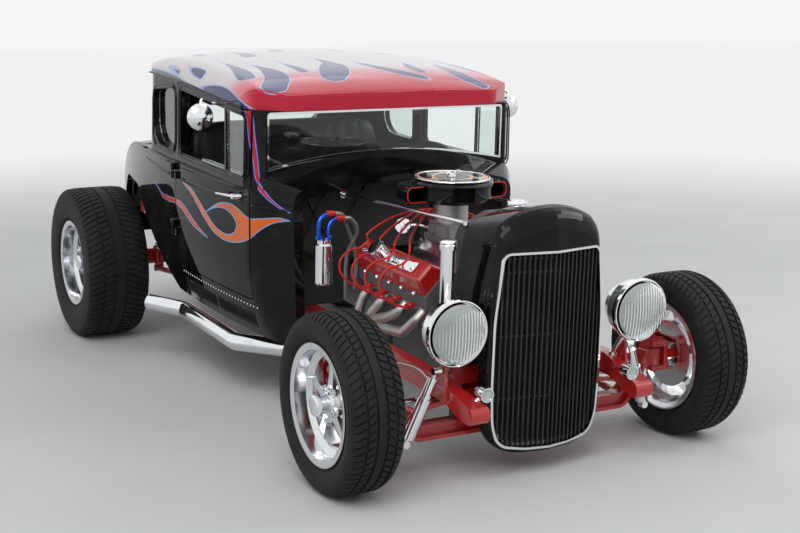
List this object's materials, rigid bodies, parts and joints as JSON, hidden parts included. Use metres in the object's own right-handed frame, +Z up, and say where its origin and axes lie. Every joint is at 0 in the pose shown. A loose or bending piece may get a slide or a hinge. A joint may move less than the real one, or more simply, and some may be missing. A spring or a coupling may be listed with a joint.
{
  "type": "hot rod coupe",
  "caption": "Fenderless hot rod coupe with open V8, tall grille shell, flame paint, steered front wheels, opening doors and deck lid.",
  "frame": {"origin": "on the ground under the middle of the car's overall length and width", "axes": "+X to the car's left, +Y to the rear (nose points along -Y), +Z up; the body sits 3 degrees nose down on its wheels"},
  "size_m": [1.724, 3.634, 1.4118],
  "materials": {
    "gloss_black": "gloss",
    "flamed_roof": "gloss",
    "frame_red": "gloss",
    "chrome": "polished",
    "polished_alloy": "polished",
    "cast_alloy": "cast",
    "cast_iron": "cast",
    "bare_steel": "satin",
    "black_steel": "satin",
    "tyre": "matt",
    "glass": "clear",
    "lens": "fluted",
    "seat": "pleated"
  },
  "bodies": {
    "chassis": {"chassis_frame": "frame_red", "front_axle": "frame_red", "front_spring": "frame_red", "radius_rods": "frame_red", "shock_absorbers": "chrome", "rear_axle": "frame_red", "ladder_bars": "frame_red", "coil_overs": "chrome", "engine_block": "cast_iron", "valve_covers": "frame_red", "intake_manifold": "polished_alloy", "distributor": "black_steel", "carburettor": "cast_alloy", "air_cleaner": "gloss_black", "exhaust_headers": "bare_steel", "side_pipes": "chrome", "front_drive": "bare_steel", "gearbox": "cast_alloy", "driveshaft": "bare_steel", "grille_shell": "gloss_black", "grille_bars": "black_steel", "grille_trim": "chrome", "radiator": "black_steel", "lamps": "chrome", "lamp_lenses": "lens", "support_rods": "chrome", "canister_and_overflow": "chrome", "floor_pan": "black_steel", "dashboard": "gloss_black", "steering_column": "black_steel", "bench_seat": "seat", "tub": "gloss_black", "windscreen_surround": "gloss_black", "cab_rear": "gloss_black", "roof_panel": "flamed_roof", "windscreen_frame": "chrome", "fixed_glass": "glass"},
    "steering_wheel": {"steering_wheel": "black_steel"},
    "knuckle_left": {"knuckle_left": "frame_red"},
    "knuckle_right": {"knuckle_right": "frame_red"},
    "tie_rod": {"tie_rod": "chrome"},
    "front_wheel_left": {"wheel_front_left": "polished_alloy", "tyre_front_left": "tyre"},
    "front_wheel_right": {"wheel_front_right": "polished_alloy", "tyre_front_right": "tyre"},
    "rear_wheel_left": {"wheel_rear_left": "polished_alloy", "tyre_rear_left": "tyre"},
    "rear_wheel_right": {"wheel_rear_right": "polished_alloy", "tyre_rear_right": "tyre"},
    "door_left": {"door_left": "gloss_black", "door_glass_left": "glass", "door_fittings_left": "chrome"},
    "door_right": {"door_right": "gloss_black", "door_glass_right": "glass", "door_fittings_right": "chrome"},
    "deck_lid": {"deck_lid": "gloss_black"}
  },
  "joints": [
    {"name": "steer_left", "type": "hinge", "parent": "chassis", "child": "knuckle_left", "pos_m": [0.6, -1.51104, 0.306], "axis": [0, 0, 1], "range_deg": [-28, 28]},
    {"name": "steer_right", "type": "hinge", "parent": "chassis", "child": "knuckle_right", "pos_m": [-0.6, -1.51104, 0.306], "axis": [0, 0, 1], "range_deg": [-28, 28]},
    {"name": "tie_rod_pivot", "type": "hinge", "parent": "knuckle_left", "child": "tie_rod", "pos_m": [0.6, -1.38105, 0.231], "axis": [0, 0, 1], "range_deg": [-28, 28]},
    {"name": "steering_wheel_turn", "type": "hinge", "parent": "chassis", "child": "steering_wheel", "pos_m": [0.325, -0.17007, 0.86624], "axis": [0, 0.7996, 0.6005], "range_deg": [-336, 336]},
    {"name": "front_left_spin", "type": "hinge", "parent": "knuckle_left", "child": "front_wheel_left", "pos_m": [0.713, -1.51104, 0.306], "axis": [1, 0, 0], "continuous": true},
    {"name": "front_right_spin", "type": "hinge", "parent": "knuckle_right", "child": "front_wheel_right", "pos_m": [-0.713, -1.51104, 0.306], "axis": [1, 0, 0], "continuous": true},
    {"name": "rear_left_spin", "type": "hinge", "parent": "chassis", "child": "rear_wheel_left", "pos_m": [0.713, 1.17596, 0.366], "axis": [1, 0, 0], "continuous": true},
    {"name": "rear_right_spin", "type": "hinge", "parent": "chassis", "child": "rear_wheel_right", "pos_m": [-0.713, 1.17596, 0.366], "axis": [1, 0, 0], "continuous": true},
    {"name": "door_left_hinge", "type": "hinge", "parent": "chassis", "child": "door_left", "pos_m": [0.642, 0.25947, 0.75257], "axis": [0, -0.0523, 0.9986], "range_deg": [0, 65]},
    {"name": "door_right_hinge", "type": "hinge", "parent": "chassis", "child": "door_right", "pos_m": [-0.642, 0.25947, 0.75257], "axis": [0, -0.0523, 0.9986], "range_deg": [-65, 0]},
    {"name": "deck_lid_hinge", "type": "hinge", "parent": "chassis", "child": "deck_lid", "pos_m": [0, 0.89509, 0.99616], "axis": [1, 0, 0], "range_deg": [0, 60]}
  ],
  "couplings": [
    {"joint": "steer_right", "follows": "steer_left", "ratio": 1},
    {"joint": "tie_rod_pivot", "follows": "steer_left", "ratio": -1},
    {"joint": "steering_wheel_turn", "follows": "steer_left", "ratio": 12}
  ]
}
